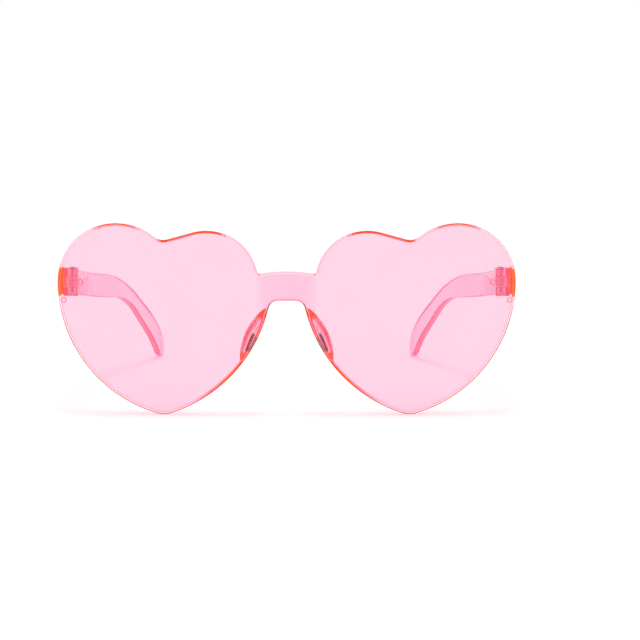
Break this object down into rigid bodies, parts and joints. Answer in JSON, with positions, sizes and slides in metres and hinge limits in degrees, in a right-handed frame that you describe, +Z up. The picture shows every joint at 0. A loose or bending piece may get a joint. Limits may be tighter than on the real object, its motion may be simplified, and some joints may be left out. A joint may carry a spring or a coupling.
{
  "type": "heart shaped sunglasses",
  "caption": "Rimless sunglasses: heart shaped lenses and bridge cut from one tinted clear sheet, moulded nose pads, and folding temples on screwed hinges.",
  "frame": {"origin": "on the table below the middle of the part's box, midway between the hearts and the temple tips", "axes": "-Y is the way the wearer looks, +Y towards the temple tips, +X the wearer's left, +Z up"},
  "size_m": [0.1456, 0.1544, 0.0608],
  "materials": {
    "lens_sheet": "polished clear sheet with a fluorescent pink tint, cut edges glow orange red",
    "temple_plastic": "polished clear plastic with a fluorescent pink tint, edges glow red",
    "moulded_plastic": "smooth moulded clear plastic, deeper pink where it is thick",
    "screw_metal": "dark steel, turned and slightly polished"
  },
  "bodies": {
    "front": {"front_shield": "lens_sheet", "left_nose_pad": "moulded_plastic", "right_nose_pad": "moulded_plastic", "left_hinge_block": "moulded_plastic", "right_hinge_block": "moulded_plastic", "left_hinge_screw": "screw_metal", "right_hinge_screw": "screw_metal"},
    "left_temple_arm": {"left_temple": "temple_plastic", "left_temple_knuckle": "moulded_plastic"},
    "right_temple_arm": {"right_temple": "temple_plastic", "right_temple_knuckle": "moulded_plastic"}
  },
  "joints": [
    {"name": "left_temple_fold", "type": "hinge", "parent": "front", "child": "left_temple_arm", "pos_m": [0.0683, -0.06819, 0.042], "axis": [0, 0, 1], "range_deg": [0, 83]},
    {"name": "right_temple_fold", "type": "hinge", "parent": "front", "child": "right_temple_arm", "pos_m": [-0.0683, -0.06819, 0.042], "axis": [0, 0, -1], "range_deg": [0, 76]}
  ]
}
